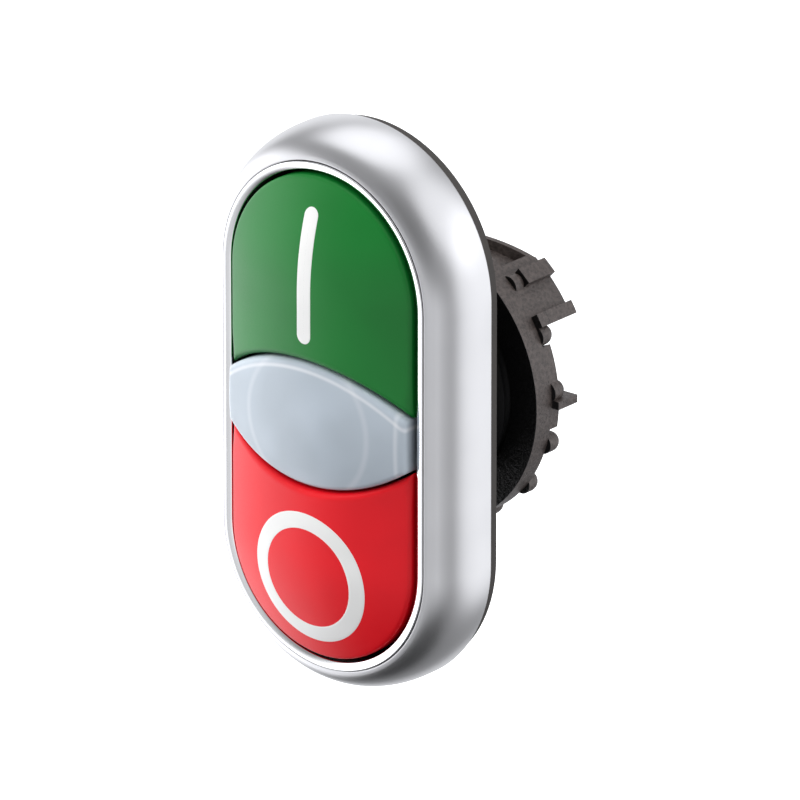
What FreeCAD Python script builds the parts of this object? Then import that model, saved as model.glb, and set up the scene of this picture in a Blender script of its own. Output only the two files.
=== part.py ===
import FreeCAD, Part
import math
import os

import Sketcher
from FreeCAD import Placement, Rotation, Vector

# Double pushbutton actuator with an indicator lens, for a round panel hole.
# Millimetres. Z is up, the buttons face -Y, and the shank runs back along +Y.
# The origin is on the shank's axis, in the plane of the panel's front face.
# Depths are Y values: "back" is always the larger one, "front" the smaller one.

doc = FreeCAD.newDocument("double_pushbutton")
sheet = doc.addObject("Spreadsheet::Sheet", "dims")

# One line per size that can be set by itself: name, value in millimetres or degrees, meaning.
SIZES = [
    ("bezel_width", 29.7, "outer width of the oblong bezel"),
    ("lobe_offset", 12.9, "centre of each rounded end, above and below the shank's axis"),
    ("bezel_depth", 6.5, "bezel, back edge to rim"),
    ("bezel_round_depth", 5.5, "depth of the bezel's rounding"),
    ("bezel_round_inset", 2.7, "how far the bezel's rounding comes in from its side"),
    ("trim_width", 0.79, "bright trim ring, inside to outside"),
    ("trim_height", 0.6, "bright trim ring, back to front"),
    ("trim_slope", 0.09, "half of the fall of the trim ring's front, outside to inside"),
    ("trim_groove", 0.15, "groove between the trim ring and the bezel"),
    ("body_clearance", 0.1, "gap between the body's wall and the bezel"),
    ("flange_inset", 0.45, "how far the body's flange stays inside the bezel's outline"),
    ("flange_thickness", 0.7, "body flange behind the bezel"),
    ("floor_thickness", 0.8, "body floor, which carries the springs"),
    ("gasket_thickness", 0.7, "panel gasket"),
    ("gasket_clearance", 0.05, "gap between the gasket and the shank's smooth land"),
    ("mat_thickness", 0.4, "silicone seal mat on the floor"),
    ("mat_inset", 0.15, "gap between the mat and the body's wall"),
    ("cap_gap", 0.41, "gap between a cap and the opening"),
    ("crown_radius", 26.2, "radius of a cap's pillow-shaped face"),
    ("press_gap", 0.2, "gap between a fully pressed cap and the seal mat"),
    ("cap_rise", 0.3, "how far the edge of a cap's face stands out of the rim"),
    ("cap_wall", 1.2, "wall of a cap's skirt"),
    ("cap_edge", 0.3, "bevel of a cap's outer edge"),
    ("cap_lens_edge", 0.65, "bevel of a cap's edge along the lens"),
    ("cap_top", 1.6, "wall of a cap's face"),
    ("travel", 4.0, "stroke of each button"),
    ("lens_height", 12.2, "height of the lens at its middle"),
    ("lens_side_gap", 0.6, "gap between the lens's ends and the opening"),
    ("lens_end_height", 5.15, "height of the lens at its ends"),
    ("lens_gap", 0.25, "gap between the lens and a cap"),
    ("lens_proud", 3.05, "how far the lens stands out of the rim"),
    ("lens_dome", 31.0, "radius of the lens's domed face"),
    ("lens_wall", 1.2, "wall of the lens"),
    ("lens_skirt", 3.3, "length of the lens's skirt behind the rim"),
    ("lens_seal_thickness", 0.5, "seal under the lens"),
    ("cup_radius", 7.0, "outer radius of the light cup under the lens"),
    ("cup_wall", 0.9, "wall of the light cup"),
    ("cup_rise", 3.3, "how far the light cup reaches into the lens"),
    ("holder_base", 0.8, "base plate of the lens holder"),
    ("guide_radius", 3.0, "radius of the light guide"),
    ("guide_fit", 0.1, "radial gap around the light guide"),
    ("guide_front", 2.9, "front end of the light guide, behind the rim"),
    ("guide_reach", 0.3, "how far the light guide stands out behind the guide plate"),
    ("mark_width", 1.66, "stroke of the start mark"),
    ("mark_low_margin", 1.75, "start mark's lower end, from the cap's edge along the lens"),
    ("mark_high_margin", 2.55, "start mark's upper end, from the cap's outer end"),
    ("mark_depth", 0.6, "depth of both inlaid marks"),
    ("ring_shift", 2.45, "centre of the stop mark, beyond the rounded end's centre"),
    ("ring_outer", 6.6, "outer radius of the stop mark"),
    ("ring_inner", 4.95, "inner radius of the stop mark"),
    ("stem_width", 4.0, "width of a plunger"),
    ("stem_inset", 1.05, "inner face of a plunger, from the cap's edge along the lens"),
    ("stem_thickness", 1.6, "thickness of a plunger"),
    ("stem_socket", 1.3, "how far a plunger goes into its cap"),
    ("socket_gap", 0.03, "gap between a plunger and its socket in the cap"),
    ("stem_reach", 0.7, "how far a plunger stands out behind the guide plate at rest"),
    ("stem_gap", 0.12, "gap between a plunger and the openings it runs in"),
    ("hook_reach", 0.6, "how far a plunger's stop hooks stand out"),
    ("hook_length", 1.0, "length of a plunger's stop hooks"),
    ("hook_gap", 0.1, "gap between the hooks and the floor at rest"),
    ("spring_shift", 2.6, "axis of each spring, beyond the rounded end's centre"),
    ("spring_radius", 2.7, "mean radius of a spring's coils"),
    ("wire_radius", 0.3, "radius of the spring wire"),
    ("spring_turns", 4.0, "turns of a spring"),
    ("spring_seat", 0.05, "gap at each end of a spring"),
    ("post_radius", 2.1, "radius of the post inside each spring"),
    ("post_height", 0.7, "height of the post inside each spring"),
    ("shank_radius", 10.95, "outer radius of the threaded shank"),
    ("shank_wall", 1.45, "wall of the shank"),
    ("shank_length", 12.0, "shank behind the panel's front"),
    ("land_step", 0.2, "how far the smooth land in the panel stands out of the thread"),
    ("land_length", 0.9, "length of the smooth land"),
    ("plate_gap", 0.3, "gap between the guide plate and the hooks at full stroke"),
    ("plate_thickness", 1.2, "thickness of the guide plate"),
    ("plate_fit", 0.03, "radial gap between the guide plate and the shank"),
    ("thread_fit", 0.05, "radial gap between the nut and the shank"),
    ("panel_max", 5.97, "thickest panel, from the gasket to the nut"),
    ("nut_wall", 3.17, "ring nut, from its bore to its outside"),
    ("nut_band", 2.18, "depth of the nut's band"),
    ("nut_hub_wall", 1.1, "wall of the nut behind its band"),
    ("nut_hub", 2.35, "how far the nut's hub reaches behind its band"),
    ("nub_count", 16, "grip nubs around the nut"),
    ("nub_angle", 5.0, "angle of the first nub"),
    ("nub_radius", 1.0, "radius of a nub"),
    ("nub_inset", 0.5, "centres of the nubs, inside the nut's outer surface"),
    ("nub_length", 0.85, "straight length of a nub, before its round end"),
    ("shelf_wall", 0.9, "radial width of the shelf behind the nut's band"),
    ("shelf_height", 1.05, "depth of the low shelf"),
    ("lug_height", 4.95, "depth of the tall lugs behind the band"),
    ("lug_wall", 1.3, "radial thickness of a lug's web"),
    ("rib_start", 1.2, "front end of a lug's upper rib, behind the band"),
    ("rib_height", 0.83, "how far a lug's ribs stand out of its web"),
    ("fin_length", 2.7, "depth of the thin fin behind the band"),
    ("ramp_lip", 0.55, "depth of the lip at the back of the ramped wall"),
    ("ramp_recess", 0.95, "depth of the recess in the ramped wall"),
]


class Size:
    """A length or angle with the sheet expression that gives it."""

    def __init__(self, text, value):
        self.text = text
        self.value = value

    def combine(self, sign, other, value):
        if isinstance(other, Size):
            return Size(f"({self.text} {sign} {other.text})", value)
        return Size(f"({self.text} {sign} {other})", value)

    def __add__(self, other):
        return self.combine("+", other, self.value + number(other))

    def __sub__(self, other):
        return self.combine("-", other, self.value - number(other))

    def __mul__(self, other):
        return self.combine("*", other, self.value * number(other))

    def __truediv__(self, other):
        return self.combine("/", other, self.value / number(other))

    def __neg__(self):
        return Size(f"(0 - {self.text})", -self.value)

    def root(self):
        """The square root."""
        return Size(f"sqrt({self.text})", math.sqrt(self.value))


def number(item):
    """The plain value of a Size or of a number."""
    return item.value if isinstance(item, Size) else item


def text(item):
    """The expression of a Size, or the number itself."""
    return item.text if isinstance(item, Size) else str(item)


for row, (alias, value, meaning) in enumerate(SIZES, start=1):
    sheet.set(f"A{row}", meaning)
    sheet.set(f"B{row}", str(value))
    sheet.setAlias(f"B{row}", alias)
doc.recompute()

size = {alias: Size(f"dims.{alias}", float(sheet.get(alias))) for alias, value, meaning in SIZES}

zero = Size("0", 0.0)

# Outlines that several pieces share.
lobe = size["lobe_offset"]
bezel_radius = size["bezel_width"] / 2
rim_radius = bezel_radius - size["bezel_round_inset"]
bezel_bore = rim_radius + size["trim_groove"]
opening_radius = rim_radius - size["trim_width"]
body_radius = bezel_bore - size["body_clearance"]
flange_radius = bezel_radius - size["flange_inset"]
cap_radius = opening_radius - size["cap_gap"]
mat_radius = opening_radius - size["mat_inset"]
shank_bore = size["shank_radius"] - size["shank_wall"]
land_radius = size["shank_radius"] + size["land_step"]
nut_bore = size["shank_radius"] + size["thread_fit"]
nut_radius = nut_bore + size["nut_wall"]
guide_bore = size["guide_radius"] + size["guide_fit"]

# The lens's long edges are arcs that give its heights at the middle and at both ends.
lens_half_width = opening_radius - size["lens_side_gap"]
lens_rise = (size["lens_height"] - size["lens_end_height"]) / 2
lens_arc = (lens_half_width * lens_half_width + lens_rise * lens_rise) / (lens_rise * 2)
arc_offset = lens_arc - size["lens_height"] / 2

# Heights above or below the shank's axis that several pieces share.
cap_near = size["lens_height"] / 2 + size["lens_gap"]
stem_near = cap_near + size["stem_inset"]
stem_far = stem_near + size["stem_thickness"]
spring_offset = lobe + size["spring_shift"]

# Depths that several pieces share.
gasket_front = -size["gasket_thickness"]
flange_front = gasket_front - size["flange_thickness"]
floor_front = gasket_front - size["floor_thickness"]
mat_front = floor_front - size["mat_thickness"]
rim = flange_front - size["bezel_depth"]
trim_back = rim + size["trim_height"]
cap_back = mat_front - size["press_gap"] - size["travel"]
lens_back = rim + size["lens_skirt"]
seal_back = lens_back + size["lens_seal_thickness"]
stem_front = cap_back - size["stem_socket"]
hook_front = gasket_front + size["hook_gap"]
plate_front = hook_front + size["hook_length"] + size["travel"] + size["plate_gap"]
plate_back = plate_front + size["plate_thickness"]
nut_front = size["panel_max"]
band_back = nut_front + size["nut_band"]
clear_front = rim - 8
clear_back = size["shank_length"] + 8


def add(kind, name):
    """A new document object with its name as its label."""
    item = doc.addObject(kind, name)
    item.Label = name
    return item


def bind(item, **properties):
    """Bind properties of an object to sizes."""
    for name, value in properties.items():
        item.setExpression(name, text(value))


def fuse(name, *items):
    """One solid from several."""
    joined = add("Part::MultiFuse", name)
    joined.Shapes = list(items)
    joined.Refine = True
    return joined


def cut(name, base, *tools):
    """A solid with others taken out of it."""
    result = add("Part::Cut", name)
    result.Base = base
    result.Tool = tools[0] if len(tools) == 1 else fuse(f"{name}_tools", *tools)
    result.Refine = True
    return result


def common(name, *items):
    """What several solids share."""
    result = add("Part::MultiCommon", name)
    result.Shapes = list(items)
    result.Refine = True
    return result


def cylinder(name, radius, back, front, x=0, z=0, start=0, sweep=360):
    """A round bar or wedge along Y. Angles run from +X towards +Z."""
    bar = add("Part::Cylinder", name)
    bind(bar, Radius=radius, Height=back - front, Angle=sweep)
    place = f"vector({text(x)}; {text(back)}; {text(z)})"
    turn = f"rotation(vector(1; 0; 0); 90) * rotation(vector(0; 0; 1); {text(start)})"
    bar.setExpression("Placement", f"placement({place}; {turn})")
    return bar


def box(name, x_low, x_high, front, back, z_low, z_high):
    """A block between two corners."""
    block = add("Part::Box", name)
    bind(block, Length=x_high - x_low, Width=back - front, Height=z_high - z_low)
    block.setExpression(".Placement.Base.x", text(x_low))
    block.setExpression(".Placement.Base.y", text(front))
    block.setExpression(".Placement.Base.z", text(z_low))
    return block


def sphere(name, radius, y, z):
    """A ball on the plane of symmetry."""
    ball = add("Part::Sphere", name)
    bind(ball, Radius=radius)
    ball.setExpression(".Placement.Base.y", text(y))
    ball.setExpression(".Placement.Base.z", text(z))
    return ball


def ring(name, outer, inner, back, front, start=0, sweep=360):
    """A tube or part of a tube around the shank's axis."""
    bar = cylinder(f"{name}_bar", outer, back, front, start=start, sweep=sweep)
    hole = cylinder(f"{name}_hole", inner, back + 1, front - 1)
    return cut(name, bar, hole)


def oblong(name, radius, back, front):
    """A block with the bezel's outline: two rounded ends joined by straight sides."""
    top = cylinder(f"{name}_top", radius, back, front, z=lobe)
    bottom = cylinder(f"{name}_bottom", radius, back, front, z=-lobe)
    middle = box(f"{name}_middle", -radius, radius, front, back, -lobe, lobe)
    return fuse(name, top, bottom, middle)


def bevelled(name, base, width_at):
    """A solid with the edges of its face bevelled; width_at gives each edge's size or None."""
    doc.recompute()
    edges = []
    for index, edge in enumerate(base.Shape.Edges, start=1):
        width = width_at(edge.discretize(5))
        if width is not None:
            edges.append((index, width.value, width.value))
    result = add("Part::Chamfer", name)
    result.Base = base
    result.Edges = edges
    return result


def plane_of(body, role):
    """One of a body's own origin planes."""
    return next(item for item in body.Origin.OriginFeatures if item.Role == role)


def front_sketch(body, name, back):
    """A sketch square to Y at a given depth. Its own X and Y are the part's X and Z."""
    sketch = body.newObject("Sketcher::SketchObject", name)
    sketch.AttachmentSupport = (plane_of(body, "XZ_Plane"), "")
    sketch.MapMode = "FlatFace"
    sketch.setExpression(".AttachmentOffset.Base.z", text(-back))
    return sketch


def hold(sketch, name, value, *where):
    """A named driving constraint bound to a size."""
    kind = where[0]
    index = sketch.addConstraint(Sketcher.Constraint(kind, *where[1:], number(value)))
    sketch.renameConstraint(index, name)
    sketch.setExpression(f"Constraints.{name}", text(value))


def draw_oblong(sketch, name, radius):
    """The bezel's outline at a given end radius."""
    r = radius.value
    c = lobe.value
    normal = Vector(0, 0, 1)
    first = sketch.GeometryCount
    top, left, bottom, right = range(first, first + 4)
    sketch.addGeometry(Part.ArcOfCircle(Part.Circle(Vector(0, c, 0), normal, r), 0, math.pi))
    sketch.addGeometry(Part.LineSegment(Vector(-r, c, 0), Vector(-r, -c, 0)))
    sketch.addGeometry(
        Part.ArcOfCircle(Part.Circle(Vector(0, -c, 0), normal, r), math.pi, 2 * math.pi)
    )
    sketch.addGeometry(Part.LineSegment(Vector(r, -c, 0), Vector(r, c, 0)))
    for one, other in ((top, left), (left, bottom), (bottom, right), (right, top)):
        sketch.addConstraint(Sketcher.Constraint("Tangent", one, 2, other, 1))
    sketch.addConstraint(Sketcher.Constraint("PointOnObject", top, 3, -2))
    sketch.addConstraint(Sketcher.Constraint("PointOnObject", bottom, 3, -2))
    sketch.addConstraint(Sketcher.Constraint("Equal", top, bottom))
    hold(sketch, f"{name}_upper", lobe, "DistanceY", -1, 1, top, 3)
    hold(sketch, f"{name}_lower", lobe, "DistanceY", bottom, 3, -1, 1)
    hold(sketch, f"{name}_radius", radius, "Radius", top)


def draw_circle(sketch, name, radius, height=None):
    """A circle on the sketch's vertical axis, at the origin if no height is given."""
    z = 0.0 if height is None else height.value
    circle = sketch.addGeometry(Part.Circle(Vector(0, z, 0), Vector(0, 0, 1), radius.value))
    if height is None:
        sketch.addConstraint(Sketcher.Constraint("Coincident", circle, 3, -1, 1))
    else:
        sketch.addConstraint(Sketcher.Constraint("PointOnObject", circle, 3, -2))
        if z > 0:
            hold(sketch, f"{name}_height", height, "DistanceY", -1, 1, circle, 3)
        else:
            hold(sketch, f"{name}_height", -height, "DistanceY", circle, 3, -1, 1)
    hold(sketch, f"{name}_radius", radius, "Radius", circle)


def draw_window(sketch, name, half_width, near, far, side):
    """A rectangle on the vertical axis, from near to far above (side 1) or below (side -1)."""
    w = half_width.value
    low = near.value * side
    high = far.value * side
    corners = [Vector(-w, low, 0), Vector(w, low, 0), Vector(w, high, 0), Vector(-w, high, 0)]
    first = sketch.GeometryCount
    for index in range(4):
        sketch.addGeometry(Part.LineSegment(corners[index], corners[(index + 1) % 4]))
    for index in range(4):
        other = first + (index + 1) % 4
        sketch.addConstraint(Sketcher.Constraint("Coincident", first + index, 2, other, 1))
        way = "Horizontal" if index % 2 == 0 else "Vertical"
        sketch.addConstraint(Sketcher.Constraint(way, first + index))
    hold(sketch, f"{name}_left", half_width, "DistanceX", first, 1, -1, 1)
    hold(sketch, f"{name}_right", half_width, "DistanceX", -1, 1, first, 2)
    if side > 0:
        hold(sketch, f"{name}_near", near, "DistanceY", -1, 1, first, 1)
        hold(sketch, f"{name}_far", far, "DistanceY", -1, 1, first + 2, 1)
    else:
        hold(sketch, f"{name}_near", near, "DistanceY", first, 1, -1, 1)
        hold(sketch, f"{name}_far", far, "DistanceY", first + 2, 1, -1, 1)


def new_body(name):
    """A PartDesign body that is one sub-part."""
    body = doc.addObject("PartDesign::Body", name)
    body.Label = name
    return body


def pad(body, sketch, name, length):
    """Material from the sketch towards the front."""
    feature = body.newObject("PartDesign::Pad", name)
    feature.Profile = sketch
    bind(feature, Length=length)
    body.Tip = feature
    return feature


def pocket(body, sketch, name, length):
    """A cut from the sketch towards the front."""
    feature = body.newObject("PartDesign::Pocket", name)
    feature.Profile = sketch
    feature.Reversed = True
    bind(feature, Length=length)
    body.Tip = feature
    return feature


def plunger_windows(sketch, gap):
    """The two openings that the plungers run in."""
    half_width = size["stem_width"] / 2 + gap
    near = stem_near - gap
    far = stem_far + gap
    draw_window(sketch, "upper_window", half_width, near, far, 1)
    draw_window(sketch, "lower_window", half_width, near, far, -1)


# Housing: bezel, trim ring, body, gasket, seal mat.


def frame_of(profile):
    """A closed frame with one section all round the bezel's outline.

    The section is drawn at the right-hand side, in the plane Z = 0, as edges.
    """
    c = lobe.value
    face = Part.Face(Part.Wire(profile))
    upper = face.translated(Vector(0, 0, c)).revolve(Vector(0, 0, c), Vector(0, -1, 0), 180)
    right = face.translated(Vector(0, 0, -c)).extrude(Vector(0, 0, 2 * c))
    turn = Placement(Vector(), Rotation(Vector(0, 1, 0), 180))
    lower = upper.copy()
    lower.Placement = turn
    left = right.copy()
    left.Placement = turn
    return upper.multiFuse([right, lower, left]).removeSplitter()


def line(x_start, y_start, x_end, y_end):
    """A straight edge of a section."""
    return Part.makeLine(Vector(x_start, y_start, 0), Vector(x_end, y_end, 0))


def make_bezel():
    """Die-cast bezel. Its section is a quarter ellipse, which neither a sketch fillet nor a
    primitive gives, so it is made from its edges."""
    outer = bezel_radius.value
    bore = bezel_bore.value
    inset = size["bezel_round_inset"].value
    depth = size["bezel_round_depth"].value
    shoulder = rim.value + depth
    back = flange_front.value
    centre = Vector(outer - inset, shoulder, 0)
    ellipse = Part.Ellipse(
        centre + Vector(0, -depth, 0), centre + Vector(inset, 0, 0), centre
    )
    start = math.asin((bore - centre.x) / inset)
    front = shoulder - depth * math.cos(start)
    rounding = ellipse.toShape(
        ellipse.parameter(Vector(bore, front, 0)),
        ellipse.parameter(Vector(outer, shoulder, 0)),
    )
    piece = add("Part::Feature", "bezel_ring")
    piece.Shape = frame_of(
        [
            line(bore, back, bore, front),
            rounding,
            line(outer, shoulder, outer, back),
            line(outer, back, bore, back),
        ]
    )
    piece.Placement = Placement()
    return piece


def make_trim():
    """Bright trim ring in the bezel's mouth, its front sloping gently inwards."""
    outer = rim_radius.value
    inner = opening_radius.value
    back = trim_back.value
    slope = size["trim_slope"].value
    proud = rim.value - slope
    sunk = rim.value + slope
    piece = add("Part::Feature", "trim_ring")
    piece.Shape = frame_of(
        [
            line(inner, back, outer, back),
            line(outer, back, outer, proud),
            line(outer, proud, inner, sunk),
            line(inner, sunk, inner, back),
        ]
    )
    piece.Placement = Placement()
    return piece


def make_body():
    """Moulded body: flange behind the bezel, well wall inside it, floor and spring posts."""
    body = new_body("base_body")
    plate = front_sketch(body, "body_flange_outline", gasket_front)
    draw_oblong(plate, "flange", flange_radius)
    pad(body, plate, "body_flange", size["flange_thickness"])
    well = front_sketch(body, "body_well_outline", gasket_front)
    draw_oblong(well, "well", body_radius)
    pad(body, well, "body_well", gasket_front - trim_back)
    hollow = front_sketch(body, "body_hollow_outline", floor_front)
    draw_oblong(hollow, "hollow", opening_radius)
    pocket(body, hollow, "body_hollow", floor_front - trim_back)
    posts = front_sketch(body, "body_post_outlines", floor_front)
    draw_circle(posts, "upper_post", size["post_radius"], spring_offset)
    draw_circle(posts, "lower_post", size["post_radius"], -spring_offset)
    pad(body, posts, "body_posts", size["post_height"])
    openings = front_sketch(body, "body_window_outlines", gasket_front)
    plunger_windows(openings, size["stem_gap"])
    draw_circle(openings, "guide_hole", guide_bore)
    pocket(body, openings, "body_windows", size["floor_thickness"])
    return body


def make_gasket():
    """Flat gasket between the body's flange and the panel."""
    body = new_body("panel_gasket")
    outline = front_sketch(body, "gasket_outline", zero)
    draw_oblong(outline, "gasket", flange_radius)
    draw_circle(outline, "hole", land_radius + size["gasket_clearance"])
    pad(body, outline, "gasket_sheet", size["gasket_thickness"])
    return body


def make_mat():
    """Silicone mat that seals the floor around both plungers."""
    body = new_body("seal_mat")
    outline = front_sketch(body, "mat_outline", floor_front)
    draw_oblong(outline, "mat", mat_radius)
    plunger_windows(outline, size["stem_gap"] / 2)
    clear = size["spring_radius"] + size["wire_radius"] * 2
    draw_circle(outline, "upper_spring", clear, spring_offset)
    draw_circle(outline, "lower_spring", clear, -spring_offset)
    draw_circle(outline, "guide_hole", guide_bore)
    pad(body, outline, "mat_sheet", size["mat_thickness"])
    return body


# Shank, guide plate and ring nut.


def make_shank():
    """Shank that passes through the panel. Its thread is a plain cylinder here."""
    bar = cylinder("shank_bar", size["shank_radius"], size["shank_length"], gasket_front)
    land = cylinder("shank_land", land_radius, size["land_length"], zero)
    bore = cylinder("shank_hollow", shank_bore, clear_back, gasket_front - 1)
    return cut("threaded_shank", fuse("shank_solid", bar, land), bore)


def make_guide_plate():
    """Plate across the shank that guides both plungers and the light guide."""
    body = new_body("guide_plate")
    outline = front_sketch(body, "guide_plate_outline", plate_back)
    draw_circle(outline, "plate", shank_bore - size["plate_fit"])
    plunger_windows(outline, size["stem_gap"])
    draw_circle(outline, "guide_hole", guide_bore)
    pad(body, outline, "guide_plate_disc", size["plate_thickness"])
    return body


# Lug layout around the nut, in degrees from +X towards +Z; the other half repeats it.
SHELF = (-10, 33)
WEB = (30, 26)
LOWER_RIB = (30, 5)
UPPER_RIB = (46.5, 6.5)
FIN = (-1, 3)
RAMP = (54, 35)
RAMP_RECESS = (58, 28)
RAMP_SLOPE = 31.6


def ramp_cutter(name, half, foot):
    """Everything behind a sloping plane that meets the band at the nut's highest point."""
    disc = add("Part::Cylinder", name)
    bind(disc, Radius=nut_radius * 3, Height=nut_radius)
    turn = f"rotation(vector(0; 1; 0); {180 * half}) * rotation(vector(0; 0; 1); {RAMP_SLOPE})"
    turn += " * rotation(vector(1; 0; 0); -90)"
    disc.setExpression("Placement", f"placement(vector(0; {text(foot)}; 0); {turn})")
    return disc


def make_ramp(half, inner, back):
    """Wall beside a lug that falls away towards the band, hollowed under a thin lip."""
    outer = nut_radius
    start, sweep = RAMP
    wall = ring(f"ramp_wall_{half}", outer, inner, back, nut_front, start + 180 * half, sweep)
    start, sweep = RAMP_RECESS
    recess_front = band_back + size["ramp_lip"]
    recess = ring(
        f"ramp_recess_{half}",
        outer + 1,
        outer - size["ramp_recess"],
        back,
        recess_front,
        start + 180 * half,
        sweep,
    )
    lip = ramp_cutter(f"ramp_lip_{half}", half, band_back - size["ramp_lip"])
    hollow = cut(f"ramp_hollow_{half}", recess, lip)
    slope = ramp_cutter(f"ramp_slope_{half}", half, band_back)
    return cut(f"ramp_{half}", wall, slope, hollow)


def make_nut():
    """Ring nut with grip nubs and two sets of lugs for a tool or a finger."""
    outer = nut_radius
    hub = nut_bore + size["nut_hub_wall"]
    nub_circle = outer - size["nub_inset"]
    lug_back = band_back + size["lug_height"]
    low_back = band_back + size["shelf_height"]
    fin_back = band_back + size["fin_length"]
    crest = outer + size["rib_height"]
    web_inner = outer - size["lug_wall"]
    pieces = [
        cylinder("nut_band", outer, band_back, nut_front),
        cylinder("nut_hub_bar", hub, band_back + size["nut_hub"], nut_front),
    ]
    raised = []
    for half in range(2):
        turn = 180 * half

        def part_ring(name, radius, inner, back, sector):
            start, sweep = sector
            label = f"{name}_{half}"
            return ring(label, radius, inner, back, nut_front, start + turn, sweep)

        shelf = part_ring("nut_shelf", outer, outer - size["shelf_wall"], low_back, SHELF)
        web = part_ring("nut_web", outer, web_inner, lug_back, WEB)
        lower = part_ring("nut_lower_rib", crest, web_inner, lug_back, LOWER_RIB)
        upper = part_ring("nut_upper_rib", crest, web_inner, lug_back, UPPER_RIB)
        fin = part_ring("nut_fin", crest, web_inner, fin_back, FIN)
        ramp = make_ramp(half, web_inner, lug_back)
        upper_relief = ring(
            f"nut_upper_relief_{half}", crest + 1, outer, band_back + size["rib_start"], nut_front - 1
        )
        raised += [lower, cut(f"nut_upper_raised_{half}", upper, upper_relief), fin]
        pieces += [shelf, web, ramp]
    spacing = 360 / size["nub_count"].value
    for index in range(int(size["nub_count"].value)):
        angle = math.radians(size["nub_angle"].value + spacing * index)
        x = nub_circle * round(math.cos(angle), 6)
        z = nub_circle * round(math.sin(angle), 6)
        tip = band_back + size["nub_length"]
        raised.append(cylinder(f"nub_bar_{index}", size["nub_radius"], tip, nut_front + 1, x, z))
        dome = add("Part::Sphere", f"nub_dome_{index}")
        bind(dome, Radius=size["nub_radius"])
        dome.setExpression(".Placement.Base.x", text(x))
        dome.setExpression(".Placement.Base.y", text(tip))
        dome.setExpression(".Placement.Base.z", text(z))
        raised.append(dome)
    relief = ring("nut_relief", crest + 1, outer, band_back, nut_front - 1)
    pieces.append(cut("nut_raised", fuse("nut_raised_bars", *raised), relief))
    hollow = cylinder("nut_hollow", nut_bore, clear_back, nut_front - 1)
    return cut("locknut", fuse("nut_solid", *pieces), hollow)


# Lens group.
def lens_outline(name, shrink, back, front):
    """The lens's outline as a block: two arcs, cut off square at the ends."""
    radius = lens_arc - shrink
    half_width = lens_half_width - shrink
    upper = cylinder(f"{name}_upper", radius, back, front, z=-arc_offset)
    lower = cylinder(f"{name}_lower", radius, back, front, z=arc_offset)
    middle = box(f"{name}_middle", -half_width, half_width, front, back, -lobe, lobe)
    return common(name, upper, lower, middle)


def make_lens():
    """Domed indicator lens between the two caps."""
    wall = size["lens_wall"]
    centre = rim - size["lens_proud"] + size["lens_dome"]
    block = lens_outline("lens_block", zero, lens_back, clear_front)
    dome = sphere("lens_dome", size["lens_dome"], centre, zero)
    core = lens_outline("lens_core_block", wall, lens_back + 1, clear_front)
    inner = sphere("lens_inner_dome", size["lens_dome"] - wall, centre, zero)
    hollow = common("lens_hollow", core, inner)
    return cut("lens", common("lens_solid", block, dome), hollow)


def make_lens_seal():
    """Soft ring under the lens's skirt."""
    block = lens_outline("seal_block", zero, seal_back, lens_back)
    core = lens_outline("seal_core", size["lens_wall"], seal_back + 1, lens_back - 1)
    return cut("lens_seal", block, core)


def make_holder():
    """Holder that carries the lens, with the walls of the light cup inside it."""
    wall = size["lens_wall"]
    block = lens_outline("holder_block", zero, mat_front, seal_back)
    base_front = mat_front - size["holder_base"]
    core = lens_outline("holder_core", wall, base_front, seal_back - 1)
    tray = cut("holder_tray", block, core)
    cup_front = lens_back - size["cup_rise"]
    tube = ring(
        "cup_tube", size["cup_radius"], size["cup_radius"] - size["cup_wall"], mat_front, cup_front
    )
    limit = lens_outline("cup_limit", wall + 0.1, mat_front, cup_front)
    cup = common("cup_walls", tube, limit)
    hole = cylinder(
        "holder_hole", guide_bore, mat_front + 1, base_front - 1
    )
    return cut("lens_holder", fuse("holder_solid", tray, cup), hole)


def make_light_guide():
    """Clear rod that brings the lamp's light forward."""
    return cylinder(
        "light_guide",
        size["guide_radius"],
        plate_back + size["guide_reach"],
        rim + size["guide_front"],
    )


# Buttons. The upper one is the start button, the lower one the stop button.

crown_centre = rim - size["cap_rise"] + (
    size["crown_radius"] * size["crown_radius"] - cap_radius * cap_radius
).root()


def pillow(name, thickness, side):
    """The pillow shape of both caps, pared down: a long round bar with a ball at its end."""
    radius = size["crown_radius"] - thickness
    bar = add("Part::Cylinder", f"{name}_bar")
    bind(bar, Radius=radius, Height=lobe * 2)
    bar.setExpression(".Placement.Base.y", text(crown_centre))
    bar.setExpression(".Placement.Base.z", text(-lobe))
    ball = sphere(f"{name}_ball", radius, crown_centre, lobe * side)
    return fuse(name, bar, ball)


def mirrored_box(name, half_width, front, back, near, far, side):
    """A block on the plane of symmetry, from near to far above or below the shank's axis."""
    low = near if side > 0 else -far
    high = far if side > 0 else -near
    return box(name, -half_width, half_width, front, back, low, high)


def make_start_mark(name, margin_back):
    """Upright bar with round ends, from the cap's face inwards."""
    half = size["mark_width"] / 2
    low = cap_near + size["mark_low_margin"] + half
    high = lobe + cap_radius - size["mark_high_margin"] - half
    lower = cylinder(f"{name}_lower", half, margin_back, clear_front, z=low)
    upper = cylinder(f"{name}_upper", half, margin_back, clear_front, z=high)
    stroke = box(f"{name}_stroke", -half, half, clear_front, margin_back, low, high)
    return fuse(f"{name}_outline", lower, upper, stroke)


def make_stop_mark(name, margin_back):
    """Round ring, from the cap's face inwards."""
    centre = -(lobe + size["ring_shift"])
    bar = cylinder(f"{name}_bar", size["ring_outer"], margin_back, clear_front, z=centre)
    hole = cylinder(
        f"{name}_hole", size["ring_inner"], margin_back + 1, clear_front - 1, z=centre
    )
    return cut(f"{name}_outline", bar, hole)


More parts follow.
